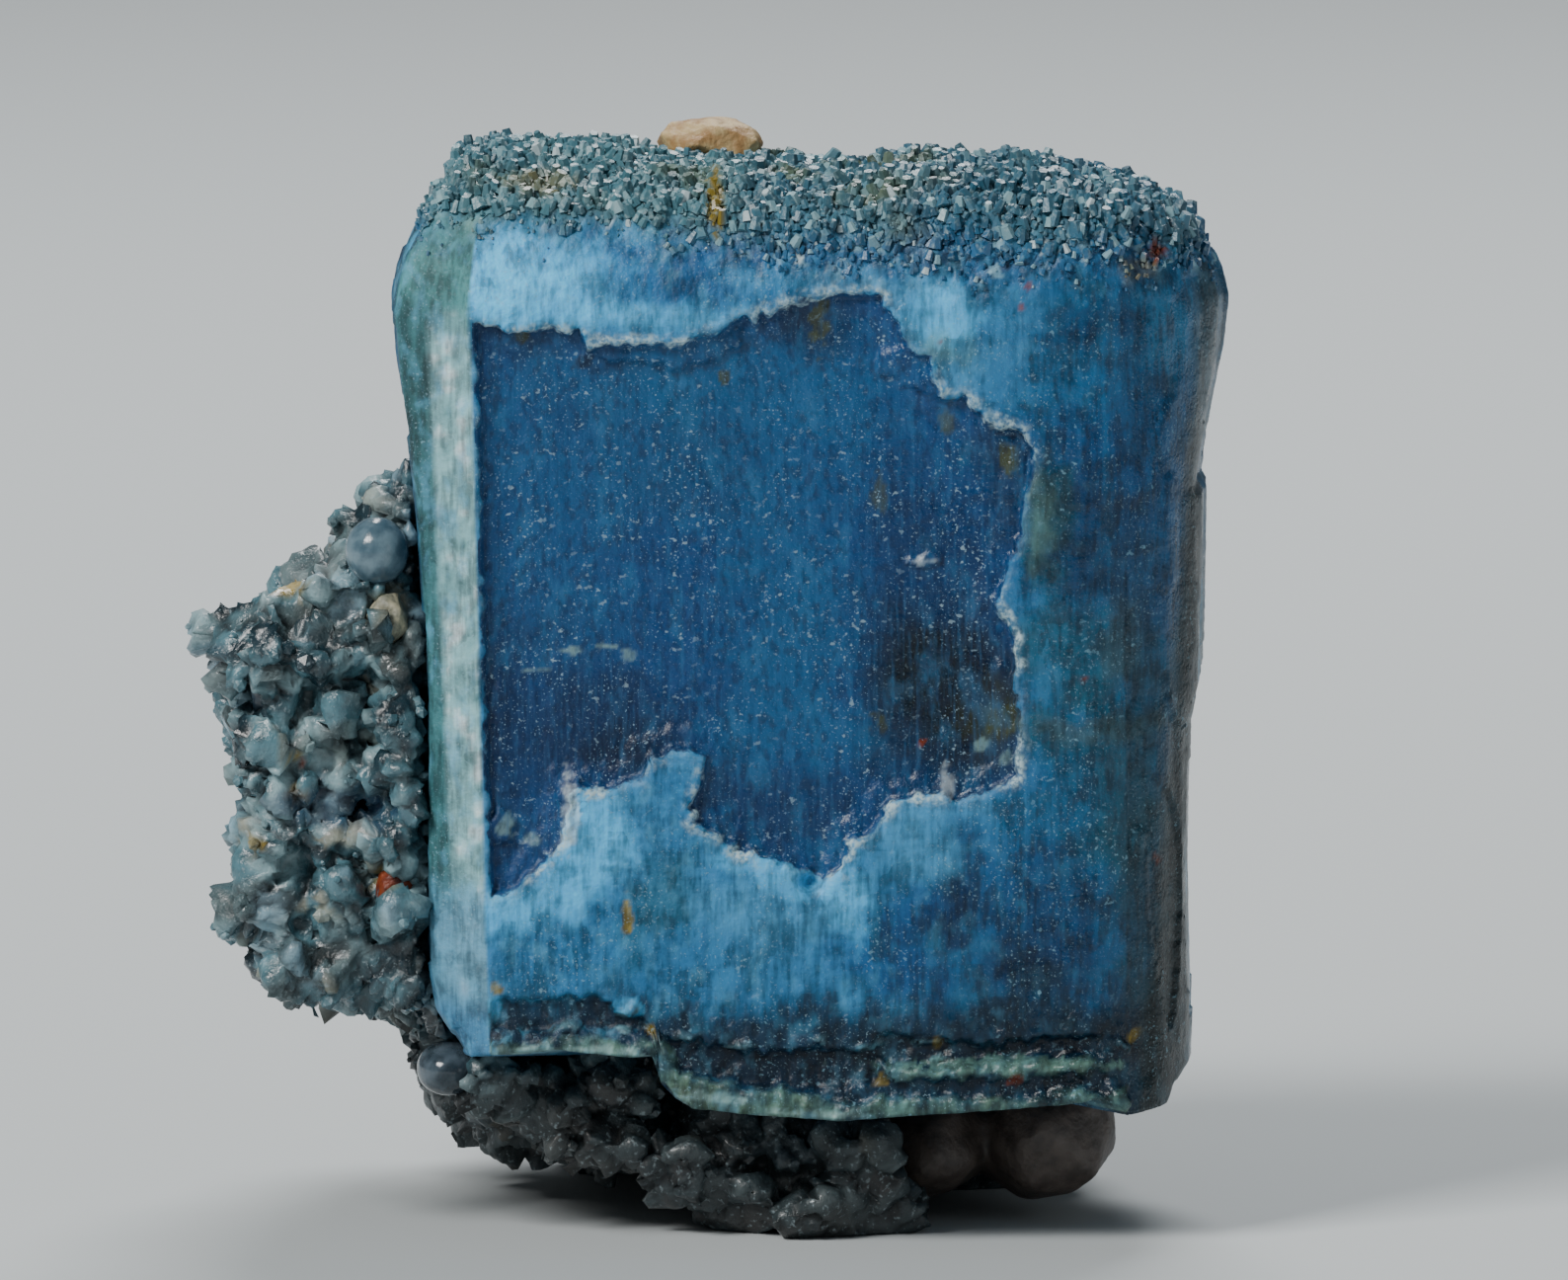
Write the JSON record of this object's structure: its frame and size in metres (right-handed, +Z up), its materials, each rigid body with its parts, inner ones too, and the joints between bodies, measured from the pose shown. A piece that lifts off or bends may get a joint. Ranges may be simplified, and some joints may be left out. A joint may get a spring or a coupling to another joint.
{
  "type": "beryl crystal on matrix",
  "caption": "Stout blue beryl prism with a worn clear window in its front face, standing in a lump of grey quartz and feldspar rock.",
  "frame": {"origin": "middle of the footprint's bounding box, on the surface that the rock stands on", "axes": "+Z up along the prism, -Y towards the viewer of the broad windowed prism face, +X to the right of it"},
  "size_m": [0.0148, 0.012, 0.0157],
  "materials": {
    "beryl": "vitreous, striated and etched, cloudy outside",
    "matrix": "granular, part glassy",
    "quartz": "glassy",
    "feldspar_cream": "dull, granular",
    "feldspar_brown": "dull, smooth lobes",
    "iron_oxide": "earthy"
  },
  "bodies": {
    "root": {"beryl_crystal": "beryl", "matrix_rock": "matrix", "feldspar_grain_top": "feldspar_cream", "feldspar_grain_left": "feldspar_cream", "feldspar_lobes": "feldspar_brown", "iron_grain": "iron_oxide", "quartz_block_left": "quartz", "quartz_knob_left": "quartz", "quartz_bead_upper": "quartz", "quartz_bead_lower": "quartz"}
  },
  "joints": []
}
